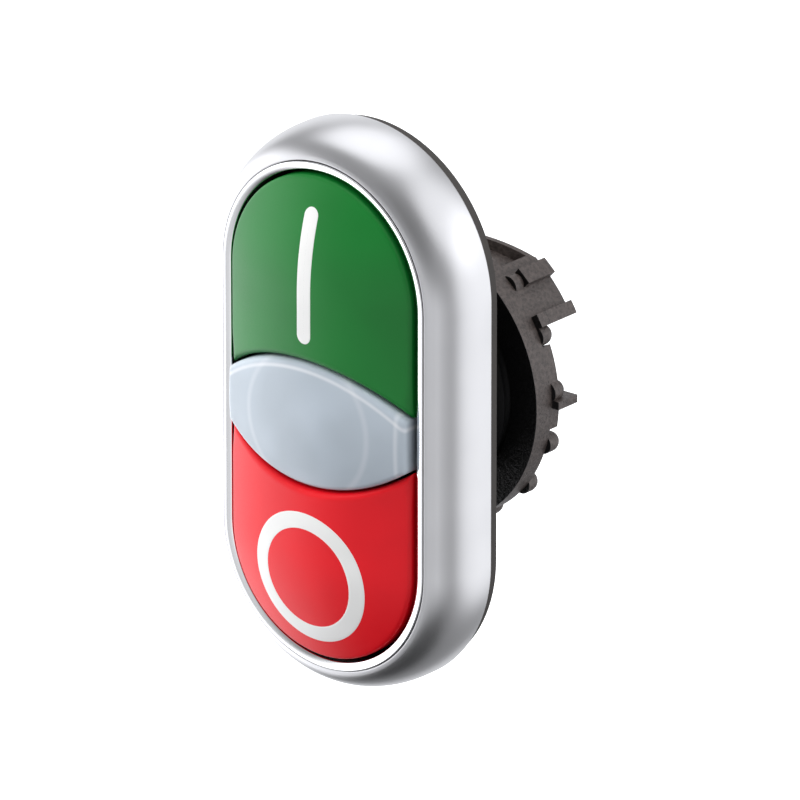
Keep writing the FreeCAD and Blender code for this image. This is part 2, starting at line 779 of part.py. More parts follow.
def make_coil(name, back_end, front_end, z):
    """Spring of half turns, each tilted just enough to meet the next one's end square."""
    radius = size["spring_radius"]
    halves = int(size["spring_turns"].value * 2)
    rise = (back_end - front_end) / halves
    major = (radius * radius + rise * rise / 4).root()
    tilt = f"atan({rise.text} / (2 * {radius.text}))"
    turns = []
    for index in range(halves):
        half = add("Part::Torus", f"{name}_half_{index}")
        bind(half, Radius1=major, Radius2=size["wire_radius"])
        half.Angle3 = 180
        sign = 1 if index % 2 == 0 else -1
        place = f"vector(0; {text(back_end - rise * (index + 0.5))}; {text(z)})"
        turn = f"rotation(vector(1; 0; 0); 90) * rotation(vector(0; {sign}; 0); {tilt})"
        turn += f" * rotation(vector(0; 0; 1); {180 * (index % 2)})"
        half.setExpression("Placement", f"placement({place}; {turn})")
        turns.append(half)
    return fuse(name, *turns)


def make_button(name, side, mark):
    """One button: its cap, the mark let into its face, its plunger and its spring."""
    side_lobe = lobe * side
    arc_centre = -arc_offset * side
    arc_reach = lens_arc + size["lens_gap"]

    # Cap: a crowned shell, cut to the lens's arc, with a block for the plunger's end.
    block = oblong(f"{name}_block", cap_radius, cap_back, clear_front)
    solid = common(f"{name}_crowned", block, pillow(f"{name}_pillow", zero, side))
    lens_side = cylinder(f"{name}_lens_side", arc_reach, cap_back + 1, clear_front, z=arc_centre)
    sharp = cut(f"{name}_sharp", solid, lens_side)

    def edge_width(points):
        """Edges of the crowned face: those along the lens are broader than the others."""
        if max(point.y for point in points) > rim.value + 0.01:
            return None
        middle = points[len(points) // 2]
        from_arc = math.hypot(middle.x, middle.z - arc_centre.value) - arc_reach.value
        return size["cap_lens_edge"] if abs(from_arc) < 0.01 else size["cap_edge"]

    outside = bevelled(f"{name}_outside", sharp, edge_width)
    core_block = oblong(
        f"{name}_core_block", cap_radius - size["cap_wall"], cap_back + 1, clear_front
    )
    core_pillow = pillow(f"{name}_core_pillow", size["cap_top"], side)
    core_side = cylinder(
        f"{name}_core_side", arc_reach + size["cap_wall"], cap_back + 2, clear_front, z=arc_centre
    )
    plunger_block = mirrored_box(
        f"{name}_plunger_block",
        size["stem_width"] / 2 + size["cap_wall"],
        clear_front,
        cap_back + 2,
        stem_near - size["cap_wall"] * 2,
        stem_far + size["cap_wall"],
        side,
    )
    core = cut(
        f"{name}_core", common(f"{name}_core_full", core_block, core_pillow), core_side, plunger_block
    )
    socket = mirrored_box(
        f"{name}_socket",
        size["stem_width"] / 2 + size["socket_gap"],
        stem_front - size["socket_gap"],
        cap_back + 1,
        stem_near - size["socket_gap"],
        stem_far + size["socket_gap"],
        side,
    )
    mark_bed = cut(
        f"{name}_mark_bed",
        mark(f"{name}_bed", cap_back),
        pillow(f"{name}_bed_pillow", size["mark_depth"], side),
    )
    cut(f"{name}_cap", outside, core, socket, mark_bed)

    # Mark: a second moulding that fills its bed, flush with the cap's face.
    face = pillow(f"{name}_mark_pillow", zero, side)
    floor = pillow(f"{name}_mark_floor", size["mark_depth"], side)
    layer = cut(f"{name}_mark_layer", face, floor)
    common(f"{name}_mark", mark(f"{name}_inlay", cap_back), layer)

    # Plunger: a flat stem with two stop hooks behind the floor.
    stem = mirrored_box(
        f"{name}_stem",
        size["stem_width"] / 2,
        stem_front,
        plate_back + size["stem_reach"],
        stem_near,
        stem_far,
        side,
    )
    hooks = mirrored_box(
        f"{name}_hooks",
        size["stem_width"] / 2 + size["hook_reach"],
        hook_front,
        hook_front + size["hook_length"],
        stem_near,
        stem_far - size["hook_reach"] / 2,
        side,
    )
    fuse(f"{name}_plunger", stem, hooks)

    # Spring: between the floor and the seat under the cap's face.
    centre_z = spring_offset * side
    reach = spring_offset - lobe
    underside = crown_centre - (
        (size["crown_radius"] - size["cap_top"]) * (size["crown_radius"] - size["cap_top"])
        - (reach + size["spring_radius"]) * (reach + size["spring_radius"])
    ).root()
    back_end = floor_front - size["spring_seat"] - size["wire_radius"]
    front_end = underside + size["spring_seat"] + size["wire_radius"]
    make_coil(f"{name}_spring", back_end, front_end, centre_z)


make_bezel()
make_trim()
make_body()
make_gasket()
make_mat()
make_shank()
make_guide_plate()
make_nut()
make_lens()
make_lens_seal()
make_holder()
make_light_guide()
make_button("start", 1, make_start_mark)
make_button("stop", -1, make_stop_mark)
doc.recompute()

NODES = [
    "bezel_ring",
    "trim_ring",
    "base_body",
    "panel_gasket",
    "seal_mat",
    "threaded_shank",
    "guide_plate",
    "locknut",
    "lens",
    "lens_seal",
    "lens_holder",
    "light_guide",
    "start_cap",
    "start_mark",
    "start_plunger",
    "start_spring",
    "stop_cap",
    "stop_mark",
    "stop_plunger",
    "stop_spring",
]

for item in doc.Objects:
    if "Invalid" in item.State or "Error" in item.State:
        raise RuntimeError(f"{item.Label} was not rebuilt: {item.State}")

os.makedirs("parts", exist_ok=True)
for label in NODES:
    node = doc.getObjectsByLabel(label)[0]
    shape = node.Shape
    if shape.isNull() or not shape.isValid() or not shape.Solids:
        raise RuntimeError(f"{label} has no valid solid")
    shape.exportStep(f"parts/{label}.step")
    print(label, round(shape.Volume, 2), len(shape.Solids))
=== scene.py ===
import math

import bmesh
import bpy
from bpy.props import FloatProperty, FloatVectorProperty, IntProperty, PointerProperty
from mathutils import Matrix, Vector


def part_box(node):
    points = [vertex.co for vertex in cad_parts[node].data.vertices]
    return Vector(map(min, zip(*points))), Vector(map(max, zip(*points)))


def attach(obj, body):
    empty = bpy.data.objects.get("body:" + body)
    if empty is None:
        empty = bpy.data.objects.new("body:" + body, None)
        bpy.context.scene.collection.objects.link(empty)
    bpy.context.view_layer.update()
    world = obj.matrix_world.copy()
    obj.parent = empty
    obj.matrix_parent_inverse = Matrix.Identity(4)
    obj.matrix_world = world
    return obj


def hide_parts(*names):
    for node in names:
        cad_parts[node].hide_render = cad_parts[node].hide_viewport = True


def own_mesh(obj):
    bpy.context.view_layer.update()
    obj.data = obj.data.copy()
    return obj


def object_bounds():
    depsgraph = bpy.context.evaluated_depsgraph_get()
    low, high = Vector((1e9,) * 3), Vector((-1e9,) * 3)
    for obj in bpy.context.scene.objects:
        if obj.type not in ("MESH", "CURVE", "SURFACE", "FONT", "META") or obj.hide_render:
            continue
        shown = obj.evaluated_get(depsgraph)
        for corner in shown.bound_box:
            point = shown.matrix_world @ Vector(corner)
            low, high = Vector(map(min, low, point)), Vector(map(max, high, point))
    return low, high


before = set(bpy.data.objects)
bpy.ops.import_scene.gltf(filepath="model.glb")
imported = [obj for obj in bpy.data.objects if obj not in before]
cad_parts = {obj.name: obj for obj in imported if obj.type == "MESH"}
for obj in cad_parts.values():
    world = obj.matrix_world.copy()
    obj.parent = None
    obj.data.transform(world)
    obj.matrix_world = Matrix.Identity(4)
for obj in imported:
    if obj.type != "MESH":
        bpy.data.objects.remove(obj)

bl_info = {
    "name": "Double Pushbutton Looks",
    "version": (1, 0, 0),
    "blender": (4, 5, 0),
    "location": "3D View > Sidebar > Pushbutton",
    "description": "Bezel, caps, lens, nut and finishes of a double pushbutton actuator",
    "category": "Object",
}

MM = 0.001
CAD_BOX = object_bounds()

# Segments. A cap's are along the lens, along each side and round the end. The lens's are along
# an arc and along an end.
EDGE_STEPS = 7
CAP_STEPS = (64, 24, 96)
CAP_RINGS = 34
LENS_STEPS = (72, 16)
LENS_RINGS = 28
BAR_END_STEPS = 24
BAR_CUTS = 24
RING_STEPS = 160
SPRING_TURNS = 4
SPRING_STEPS = 48
WIRE_SIDES = 12

# Small roundings: the bezel's mouth and lip, the trim ring, and the shank.
BEZEL_EASE = 0.12 * MM
TRIM_EASE = 0.1 * MM
SHANK_EASE = 0.2 * MM

# Share of the cap's straight side over which its rounding eases off from the lens.
EDGE_BLEND = 0.35

# Distances from a mark's centre line, as shares of its half width, where its face is drawn.
MARK_SHARES = (0.985, 0.96, 0.92, 0.7, 0.4, 0.1, 0.001)
# Share of a mark's half width that its rounded edge takes.
MARK_EDGE = 0.08

# Faint lines in the lens: how far the two painted highlight lines, along the arcs and at the ends,
# lie from its edges, and the pale colour of these and of the light cup's painted show-through ring.
LENS_ARC_INSET = 0.7 * MM
LENS_END_INSET = 0.75 * MM
LENS_HIGHLIGHT_AND_SHOW_THROUGH_COLOUR = "f0f0f2"

# The thread's ridge: reach, from 0 at the root to 1 at the crest, and share of the pitch.
THREAD_PROFILE = ((0, 0.0), (0, 0.12), (1, 0.44), (1, 0.56), (0, 0.88), (0, 1.0))
# Free length between the land and the thread, and behind the thread.
THREAD_LEAD = 0.6 * MM

# How near to a forward face of the nut a point counts as lying on it, for the painted shade there.
FACE_REACH = 0.02 * MM

# Noise sizes of the slow shade changes.
PLASTIC_CLOUD = 9 * MM
METAL_CLOUD = 7 * MM
LENS_CLOUD = 6 * MM

# Spacing of the nut's eroded pits, and of the finer grain between them.
PIT_SPACING = 0.34 * MM
PIT_GRAIN = 0.12 * MM

# The floor lies well below the part and runs far past the picture.
FLOOR_DROP = 0.15
FLOOR_HALF = 3.0

# Lights: name, azimuth and elevation in degrees, size in metres and power in watts.
LIGHT_DISTANCE = 0.7
LIGHTS = (
    ("side_light", 95, 25, (0.5, 0.7), 2),
    ("left_light", -50, 25, (0.4, 0.6), 4),
    ("top_light", 20, 75, (0.6, 0.6), 2),
)

# The room's level, and its soft panels: azimuth, elevation, half width and softness in degrees,
# and brightness over the room's level. A panel below zero is a darker patch.
ROOM_LEVEL = 0.32
ROOM_PANELS = (
    (-75, -16, 24, 20, 2.1),
    (-140, -15, 25, 20, 0.9),
    (135, -5, 25, 18, 1.2),
    (122, 38, 18, 20, 1.1),
    (222, 62, 18, 18, 1.5),
    (40, 40, 15, 20, -0.15),
    (20, -62, 32, 18, -0.29),
    *((azimuth, -22, 6, 24, 0.45) for azimuth in (-10, 15, 40, 65)),
)

# Camera: azimuth and elevation in degrees, distance in metres, focal length and sensor in
# millimetres, and how far to the right and above the rim's middle it looks.
CAMERA_DIRECTION = (40.82, 21.96)
CAMERA_DISTANCE = 1.5
CAMERA_LENS = 729.4
CAMERA_SENSOR = 36
CAMERA_RIGHT = 7.14 * MM
CAMERA_UP = 1.60 * MM


def srgb(text):
    """Linear colour, with alpha 1, of a six-digit hex colour."""
    def linear(channel):
        value = int(channel, 16) / 255
        return value / 12.92 if value <= 0.04045 else ((value + 0.055) / 1.055) ** 2.4
    return tuple(linear(text[i:i + 2]) for i in (0, 2, 4)) + (1.0,)


def colour_property(name, description, text):
    """A colour setting with its default from a hex colour."""
    return FloatVectorProperty(
        name=name, description=description, subtype="COLOR", size=4, min=0, max=1,
        default=srgb(text),
    )


def length_property(name, description, default_mm):
    """A length setting, given in millimetres and kept in metres."""
    return FloatProperty(
        name=name, description=description, default=default_mm * MM, unit="LENGTH", precision=5
    )


class PushbuttonSettings(bpy.types.PropertyGroup):
    """Sizes and colours that the frame doesn't give."""

    round_depth: length_property("Bezel round depth", "Depth of the bezel's rounding", 5.5)
    round_inset: length_property("Bezel round inset", "Width of the bezel's rounding", 2.7)
    lip_depth: length_property("Lip depth", "Bezel's lip around the body's flange", 0.18)
    lip_wall: length_property("Lip wall", "Thickness of the bezel's lip", 0.4)
    trim_width: length_property("Trim width", "Bright trim ring, inside to outside", 0.79)
    trim_slope: length_property("Trim slope", "Half of the fall of the trim's front", 0.09)
    trim_seam: length_property("Trim seam", "Seam between the trim and the bezel", 0.04)
    cap_edge: length_property("Cap edge", "Rounding of a cap's outer edge", 0.3)
    cap_lens_edge: length_property("Cap lens edge", "Rounding along the lens", 0.65)
    cap_rise: length_property("Cap rise", "How far the edge of a cap's face is out", 0.3)
    lens_end: length_property("Lens end", "Height of the lens at its ends", 5.15)
    lens_gap: length_property("Lens gap", "Gap between lens and cap", 0.25)
    lens_dome: length_property("Lens dome", "Radius of the lens's face", 31.0)
    lens_edge: length_property("Lens edge", "Rounding of the lens's edge", 0.45)
    lens_wall: length_property("Lens wall", "Wall of the lens", 1.2)
    cup_radius: length_property("Light cup radius", "Light cup that shows through the lens", 7.2)
    ring_stroke: length_property("Ring stroke", "Stroke of the stop mark", 1.65)
    mark_lift: length_property("Mark lift", "How far a mark stands out of its cap", 0.012)
    land_step: length_property("Land step", "Smooth land over the thread's crest", 0.2)
    land_length: length_property("Land length", "Length of the smooth land", 0.9)
    thread_pitch: length_property("Thread pitch", "Pitch of the shank's thread", 1.5)
    thread_depth: length_property("Thread depth", "Depth of the shank's thread", 0.75)
    shank_wall: length_property("Shank wall", "Wall of the shank", 1.45)
    wire_radius: length_property("Wire radius", "Radius of the spring wire", 0.3)
    nut_band: length_property("Nut band", "Depth of the ring nut's band", 2.18)
    rib_start: length_property("Rib start", "Front of the nut's upper ribs, behind its band", 1.2)
    rib_height: length_property("Rib height", "How far the nut's ribs stand out of its band", 0.83)
    round_steps: IntProperty(
        name="Round steps", description="Segments in half a turn", default=96, min=24, max=256
    )
    green: colour_property("Green", "Start cap", "107029")
    red: colour_property("Red", "Stop cap", "df0417")
    white: colour_property("White", "Marks", "e6e6e4")
    milky: colour_property("Milky", "Lens", "b1bbc4")
    silver: colour_property("Silver", "Bezel", "d0d0d1")
    chrome: colour_property("Chrome", "Trim ring", "f6f6f6")
    nut_grey: colour_property("Nut grey", "Ring nut", "3f3835")
    # Painted shade: nearly black colour laid on the nut's forward faces.
    nut_front_shade: colour_property("Nut front", "Forward faces of the ring nut", "060606")
    black: colour_property("Black", "Shank and inner plate", "080809")
    body_grey: colour_property("Body grey", "Body", "3b3836")
    rubber: colour_property("Rubber", "Gasket", "3b3836")


def settings():
    """The scene's settings of this add-on."""
    return bpy.context.scene.pushbutton


# Materials.


def node(tree, kind, values=None, **attributes):
    """A new shader node with its attributes and input values set."""
    item = tree.nodes.new(kind)
    for name, value in attributes.items():
        setattr(item, name, value)
    for name, value in (values or {}).items():
        item.inputs[name].default_value = value
    return item


def link(tree, source, output, target, socket):
    """Join two nodes' sockets."""
    tree.links.new(source.outputs[output], target.inputs[socket])


def new_material(name, values):
    """A material with one Principled shader, and its object-space coordinates."""
    material = bpy.data.materials.new(name)
    material.use_nodes = True
    tree = material.node_tree
    shader = tree.nodes["Principled BSDF"]
    for socket, value in values.items():
        shader.inputs[socket].default_value = value
    where = node(tree, "ShaderNodeTexCoord")
    return material, tree, shader, where


def grain(tree, where, size, detail=3.0):
    """Noise whose features are about the given size, in metres."""
    noise = node(tree, "ShaderNodeTexNoise", {"Scale": 1 / size, "Detail": detail})
    link(tree, where, "Object", noise, "Vector")
    return noise


def mix_colours(tree, shader, fac, first, second):
    """Base colour between two colours by a factor socket."""
    mix = node(tree, "ShaderNodeMix", data_type="RGBA")
    mix.inputs[6].default_value = first
    mix.inputs[7].default_value = second
    tree.links.new(fac, mix.inputs[0])
    tree.links.new(mix.outputs[2], shader.inputs["Base Color"])
    return mix


def spread(tree, noise, low, high):
    """A noise's middle range spread to the range low to high."""
    ranged = node(
        tree, "ShaderNodeMapRange",
        {"From Min": 0.35, "From Max": 0.65, "To Min": low, "To Max": high},
    )
    link(tree, noise, 0, ranged, "Value")
    return ranged


def add_bump(tree, shader, height, distance, strength=1.0):
    """Surface relief from a height socket, with its depth in metres."""
    bump = node(tree, "ShaderNodeBump", {"Distance": distance, "Strength": strength})
    tree.links.new(height, bump.inputs["Height"])
    link(tree, bump, "Normal", shader, "Normal")
    return bump


def scaled(colour, factor):
    """A colour made darker or lighter."""
    return tuple(min(1.0, channel * factor) for channel in colour[:3]) + (1.0,)


def moulded_plastic(name, colour, roughness, texture, depth):
    """Injection-moulded plastic: fine eroded texture, faint shade changes, uneven gloss."""
    values = {"Roughness": roughness, "IOR": 1.5, "Specular IOR Level": 0.32}
    material, tree, shader, where = new_material(name, values)
    broad = grain(tree, where, PLASTIC_CLOUD, 2.0)
    shade = spread(tree, broad, 0.0, 1.0)
    mix_colours(tree, shader, shade.outputs[0], scaled(colour, 0.94), scaled(colour, 1.05))
    fine = grain(tree, where, texture)
    gloss = spread(tree, fine, roughness - 0.04, roughness + 0.05)
    link(tree, gloss, 0, shader, "Roughness")
    add_bump(tree, shader, fine.outputs[0], depth)
    return material


def cast_metal(name, colour, roughness, texture, depth, metallic=1.0):
    """Satin or polished metal: fine blast texture and slightly uneven gloss."""
    values = {"Roughness": roughness, "Metallic": metallic}
    material, tree, shader, where = new_material(name, values)
    broad = grain(tree, where, METAL_CLOUD, 2.0)
    shade = spread(tree, broad, 0.0, 1.0)
    mix_colours(tree, shader, shade.outputs[0], scaled(colour, 0.97), scaled(colour, 1.02))
    fine = grain(tree, where, texture)
    gloss = spread(tree, fine, roughness - 0.03, roughness + 0.03)
    link(tree, gloss, 0, shader, "Roughness")
    add_bump(tree, shader, fine.outputs[0], depth)
    return material


def across_axis(tree, where):
    """A point's place across the shank's axis, as a vector."""
    across = node(tree, "ShaderNodeVectorMath", {1: (1, 0, 1)}, operation="MULTIPLY")
    link(tree, where, "Object", across, 0)
    return across


def length_of(tree, vector):
    """Length of a vector node's result."""
    length = node(tree, "ShaderNodeVectorMath", operation="LENGTH")
    link(tree, vector, 0, length, 0)
    return length


def nut_painted_shade_mask(tree, where):
    """Mask of the nut's forward faces, which get painted shade: the band's, and those of its nubs,
    ribs and fins.
    """
    s = settings()
    low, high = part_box("locknut")
    band_back = low.y + s.nut_band
    band_radius = high.x - s.rib_height
    reach = length_of(tree, across_axis(tree, where))
    depth = node(tree, "ShaderNodeVectorMath", {1: (0, 1, 0)}, operation="DOT_PRODUCT")
    link(tree, where, "Object", depth, 0)
    mask = None
    faces = ((low.y, 0.0), (band_back, band_radius), (band_back + s.rib_start, band_radius))
    for place, inner_radius in faces:
        level = node(tree, "ShaderNodeMath", {1: place, 2: FACE_REACH}, operation="COMPARE")
        link(tree, depth, "Value", level, 0)
        least = inner_radius + FACE_REACH
        outside = node(tree, "ShaderNodeMath", {1: least}, operation="GREATER_THAN")
        link(tree, reach, "Value", outside, 0)
        face = node(tree, "ShaderNodeMath", operation="MULTIPLY")
        link(tree, level, 0, face, 0)
        link(tree, outside, 0, face, 1)
        if mask:
            either = node(tree, "ShaderNodeMath", operation="MAXIMUM")
            link(tree, mask, 0, either, 0)
            link(tree, face, 0, either, 1)
            face = either
        mask = face
    return mask


def eroded_nut_plastic(name, colour, front):
    """Glass-filled plastic with coarse spark-eroded grain and paler spots, and nearly black painted
    shade on its forward faces.
    """
    values = {"Roughness": 0.5, "IOR": 1.5}
    material, tree, shader, where = new_material(name, values)
    pits = node(tree, "ShaderNodeTexVoronoi", {"Scale": 1 / PIT_SPACING}, feature="SMOOTH_F1")
    link(tree, where, "Object", pits, "Vector")
    fine = grain(tree, where, PIT_GRAIN)
    height = node(tree, "ShaderNodeMath", operation="ADD")
    link(tree, pits, "Distance", height, 0)
    link(tree, fine, 0, height, 1)
    ranged = node(
        tree, "ShaderNodeMapRange",
        {"From Min": 0.6, "From Max": 1.25, "To Min": 0.0, "To Max": 1.0},
    )
    link(tree, height, 0, ranged, "Value")
    mix = mix_colours(tree, shader, ranged.outputs[0], scaled(colour, 0.7), scaled(colour, 1.5))
    # Painted shade: the nut's forward faces are mixed to the nearly black shade colour.
    front_shade = node(tree, "ShaderNodeMix", data_type="RGBA")
    front_shade.inputs[7].default_value = front
    link(tree, nut_painted_shade_mask(tree, where), 0, front_shade, 0)
    tree.links.new(mix.outputs[2], front_shade.inputs[6])
    tree.links.new(front_shade.outputs[2], shader.inputs["Base Color"])
    add_bump(tree, shader, height.outputs[0], 0.05 * MM)
    return material


def milky_lens(name, colour):
    """Opal acrylic, moulded and polished: the light cup shows through faintly as a painted pale
    ring, and painted highlight lines run just inside the long arcs and the ends.
    """
    values = {
        "Roughness": 0.2, "IOR": 1.49, "Subsurface Weight": 0.25, "Subsurface Scale": 2 * MM,
        "Subsurface Radius": (1.0, 1.0, 1.0), "Coat Weight": 0.12, "Coat Roughness": 0.06,
        "Specular IOR Level": 0.3,
    }
    material, tree, shader, where = new_material(name, values)
    haze = grain(tree, where, LENS_CLOUD, 1.0)
    shade = spread(tree, haze, 0.0, 1.0)
    mix = mix_colours(tree, shader, shade.outputs[0], scaled(colour, 0.94), scaled(colour, 1.06))
    lens_arc, offset = lens_arcs()
    across = across_axis(tree, where)
    reach = length_of(tree, across)
    shifted = node(tree, "ShaderNodeVectorMath", {1: (0, 0, offset)}, operation="ADD")
    link(tree, across, 0, shifted, 0)
    arc_reach = length_of(tree, shifted)
    sideways = node(tree, "ShaderNodeVectorMath", {1: (1, 0, 0)}, operation="DOT_PRODUCT")
    link(tree, where, "Object", sideways, 0)
    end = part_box("lens")[1].x
    # Distance that draws the line, where it lies, its half width and its strength. The first is the
    # light cup's painted show-through ring, the other two are painted highlights inside the arcs and
    # the ends.
    lines = (
        (reach, settings().cup_radius, 0.5 * MM, 0.16),
        (arc_reach, lens_arc - LENS_ARC_INSET, 0.3 * MM, 0.45),
        (sideways, end - LENS_END_INSET, 0.35 * MM, 0.3),
    )
    for distance, place, width, strength in lines:
        ridge = node(tree, "ShaderNodeMath", {1: place}, operation="SUBTRACT")
        link(tree, distance, "Value", ridge, 0)
        size = node(tree, "ShaderNodeMath", operation="ABSOLUTE")
        link(tree, ridge, 0, size, 0)
        faint = node(
            tree, "ShaderNodeMapRange",
            {"From Min": 0.0, "From Max": width, "To Min": strength, "To Max": 0.0},
            interpolation_type="SMOOTHSTEP",
        )
        link(tree, size, 0, faint, "Value")
        over = node(tree, "ShaderNodeMix", data_type="RGBA")
        over.inputs[7].default_value = srgb(LENS_HIGHLIGHT_AND_SHOW_THROUGH_COLOUR)
        link(tree, faint, 0, over, 0)
        tree.links.new(mix.outputs[2], over.inputs[6])
        mix = over
    tree.links.new(mix.outputs[2], shader.inputs["Base Color"])
    fine = grain(tree, where, 0.25 * MM)
    add_bump(tree, shader, fine.outputs[0], 0.001 * MM)
    return material


def clear_plastic(name):
    """Polished clear rod with faint flow lines."""
    values = {"Roughness": 0.05, "IOR": 1.49, "Transmission Weight": 1.0}
    material, tree, shader, where = new_material(name, values)
    flow = grain(tree, where, 1.5 * MM, 1.0)
    shade = spread(tree, flow, 0.0, 1.0)
    mix_colours(tree, shader, shade.outputs[0], srgb("f2f6f8"), srgb("fafcfd"))
    add_bump(tree, shader, flow.outputs[0], 0.003 * MM)
    return material


def make_materials():
    """Every finish of the object, by a short name."""
    s = settings()
    steel_grey = srgb("b9bbbd")
    silicone_grey = srgb("6a6d70")
    holder_white = srgb("e4e4e0")
    return {
        # Moulded caps: fine even texture that gives a soft, wide sheen.
        "green": moulded_plastic("green_moulded_abs", s.green, 0.4, 0.09 * MM, 0.004 * MM),
        "red": moulded_plastic("red_moulded_abs", s.red, 0.4, 0.09 * MM, 0.004 * MM),
        # Second shot of the same plastic: flush marks with the caps' own sheen.
        "white": moulded_plastic("white_second_shot_abs", s.white, 0.4, 0.09 * MM, 0.004 * MM),
        # Opal moulding: cool, milky and a little glossy, with the light cup's faint painted
        # show-through ring and painted highlight lines along its arcs and ends.
        "milky": milky_lens("opal_moulded_acrylic", s.milky),
        # Satin lacquer: metal reflections blurred to soft bands.
        "silver": cast_metal("satin_lacquered_zinc", s.silver, 0.33, 0.06 * MM, 0.0015 * MM, 0.9),
        # Plated trim: a thin bright line with nearly sharp reflections.
        "chrome": cast_metal("polished_chrome_plating", s.chrome, 0.12, 0.4 * MM, 0.0005 * MM),
        # Drawn wire: clean highlights along each turn.
        "steel": cast_metal("drawn_spring_steel", steel_grey, 0.28, 0.1 * MM, 0.002 * MM),
        # Eroded mould: a coarse sandy grain, matt, with nearly black painted shade on its forward
        # faces.
        "nut": eroded_nut_plastic("spark_eroded_nylon_painted_front_shade", s.nut_grey, s.nut_front_shade),
        # Glass-filled mouldings: matt and dark, with a slight texture.
        "body": moulded_plastic("grey_glass_filled_nylon", s.body_grey, 0.5, 0.15 * MM, 0.01 * MM),
        "black": moulded_plastic("black_glass_filled_nylon", s.black, 0.5, 0.15 * MM, 0.01 * MM),
        # Moulded thread: smoother than the body, with thin highlights on its crests.
        "shank": moulded_plastic("black_thread_nylon", s.black, 0.45, 0.12 * MM, 0.006 * MM),
        # Rubber: dull and even.
        "rubber": moulded_plastic("moulded_nitrile_rubber", s.rubber, 0.7, 0.2 * MM, 0.01 * MM),
        # Silicone: mid grey, with a faint soft gloss.
        "silicone": moulded_plastic(
            "moulded_grey_silicone", silicone_grey, 0.55, 0.2 * MM, 0.005 * MM
        ),
        # White moulding: pale and slightly glossy, so that it throws light forward.
        "holder": moulded_plastic(
            "white_moulded_polycarbonate", holder_white, 0.4, 0.12 * MM, 0.004 * MM
        ),
        # Polished rod: clear, with faint flow lines.
        "clear": clear_plastic("clear_moulded_acrylic"),
    }


# Mesh building.


def finish_mesh(bm, name, body, material, replaced=None, sharp_angle=None):
    """Turn a bmesh into a piece that rides on a body and stands for a node."""
    bmesh.ops.remove_doubles(bm, verts=bm.verts, dist=0.0005 * MM)
    bmesh.ops.recalc_face_normals(bm, faces=bm.faces)
    for face in bm.faces:
        face.smooth = True
    if sharp_angle is not None:
        for edge in bm.edges:
            if len(edge.link_faces) == 2:
                edge.smooth = edge.calc_face_angle(0.0) < math.radians(sharp_angle)
    mesh = bpy.data.meshes.new(name)
    bm.to_mesh(mesh)
    bm.free()
    mesh.materials.append(material)
    piece = bpy.data.objects.new(name, mesh)
    bpy.context.scene.collection.objects.link(piece)
    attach(piece, body)
    if replaced:
        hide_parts(replaced)
    return piece


def loop_of(bm, points):
    """A closed loop of edges through points."""
    verts = [bm.verts.new(point) for point in points]
    count = len(verts)
    return [bm.edges.new((verts[i], verts[(i + 1) % count])) for i in range(count)]


def sweep_oblong(section, lobe, steps):
    """A closed section, given as (radius, y) pairs, carried once round the bezel's outline."""
    bm = bmesh.new()
    edges = loop_of(bm, [Vector((radius, y, -lobe)) for radius, y in section])
    for centre, rise in ((lobe, 2 * lobe), (-lobe, -2 * lobe)):
        made = bmesh.ops.extrude_edge_only(bm, edges=edges)["geom"]
        moved = [item for item in made if isinstance(item, bmesh.types.BMVert)]
        bmesh.ops.translate(bm, verts=moved, vec=(0, 0, rise))
        edges = [item for item in made if isinstance(item, bmesh.types.BMEdge)]
        turned = bmesh.ops.spin(
            bm, geom=edges, cent=(0, 0, centre), axis=(0, -1, 0), dvec=(0, 0, 0),
            angle=math.pi, steps=steps, use_merge=False, use_duplicate=False,
        )["geom_last"]
        edges = [item for item in turned if isinstance(item, bmesh.types.BMEdge)]
    return bm


def arc(centre, radii, start, end, steps):
    """Points of an elliptical arc in a section's plane; angles in degrees from +radius to +y."""
    points = []
    for index in range(steps + 1):
        angle = math.radians(start + (end - start) * index / steps)
        points.append(
            (centre[0] + radii[0] * math.cos(angle), centre[1] + radii[1] * math.sin(angle))
        )
    return points


def rim_depth():
    """Depth of the rim, at the middle of the trim ring's sloping front."""
    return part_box("trim_ring")[0].y + settings().trim_slope


def lens_arcs():
    """Radius of the lens's long edges, and how far their centres lie from the shank's axis."""
    low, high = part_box("lens")
    half_width = (high.x - low.x) / 2
    rise = high.z - settings().lens_end / 2
    radius = (half_width ** 2 + rise ** 2) / (2 * rise)
    return radius, radius - high.z


def size_of_oblong(name):
    """Outer radius, lobe offset, front and back of an oblong CAD node."""
    low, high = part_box(name)
    radius = (high.x - low.x) / 2
    return radius, (high.z - low.z) / 2 - radius, low.y, high.y


def make_bezel(materials):
    """Bezel: quarter-ellipse rounding, eased mouth, and a lip around the body's flange."""
    s = settings()
    outer, lobe, front, back = size_of_oblong("bezel_ring")
    trim_outer = size_of_oblong("trim_ring")[0]
    bore = trim_outer + s.trim_seam
    ease = BEZEL_EASE
    shoulder = front + s.round_depth
    centre = (outer - s.round_inset, shoulder)
    section = arc(centre, (s.round_inset, s.round_depth), 0, -80, 30)
    mouth = section[-1]
    section += arc((bore + ease, mouth[1] + ease * 0.6), (ease, ease), -70, -180, 6)
    section += arc((bore + ease, back - ease), (ease, ease), 180, 90, 4)
    section += [(outer - s.lip_wall, back), (outer - s.lip_wall, back + s.lip_depth)]
    section += arc((outer - ease, back + s.lip_depth - ease), (ease, ease), 90, 0, 5)
    bm = sweep_oblong(section, lobe, s.round_steps)
    finish_mesh(bm, "bezel_skin", "housing", materials["silver"], "bezel_ring")


